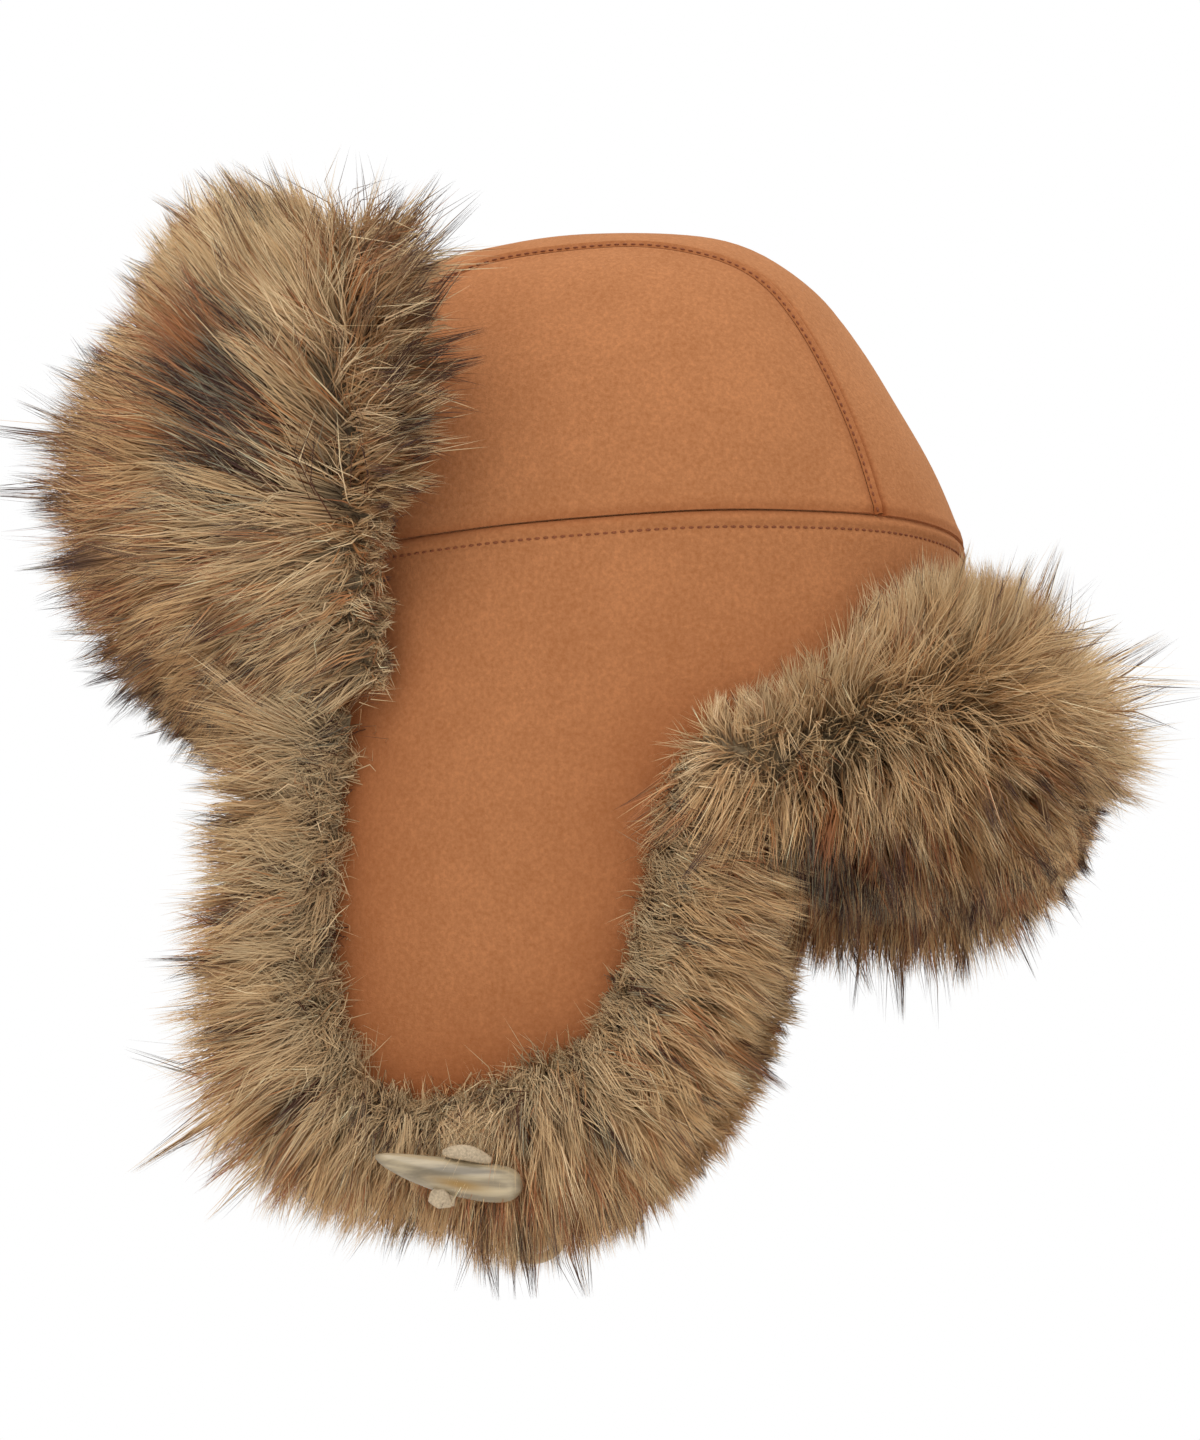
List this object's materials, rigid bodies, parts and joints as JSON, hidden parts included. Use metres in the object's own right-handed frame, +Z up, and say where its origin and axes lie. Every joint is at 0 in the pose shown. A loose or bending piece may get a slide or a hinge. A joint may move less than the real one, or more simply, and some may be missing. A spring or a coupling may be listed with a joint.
{
  "type": "aviator hat",
  "caption": "Suede aviator hat with a panelled crown, ear flaps, a turned-up front flap, long fur on the flap and hem, and a toggle on one ear flap.",
  "frame": {"origin": "middle of the head opening, on the level of the front rim", "axes": "+Z up, -Y the way the wearer looks, +X to the wearer's left"},
  "size_m": [0.2572, 0.339, 0.307],
  "materials": {
    "suede": "napped suede, caramel",
    "fur": "long faux fur, mottled olive, tan and brown with dark tips",
    "stitching": "thread, dark rust",
    "horn": "polished imitation horn, pearly grey",
    "thong": "pale leather"
  },
  "bodies": {
    "root": {"crown_centre_strip": "suede", "crown_side_left": "suede", "crown_side_right": "suede", "side_panel_left": "suede", "side_panel_right": "suede", "front_flap_backing": "suede", "front_flap_fur": "fur", "ear_trim_left": "fur", "ear_trim_right": "fur", "neck_trim": "fur", "toggle": "horn", "toggle_thong": "thong", "closure_loop": "thong"}
  },
  "joints": []
}
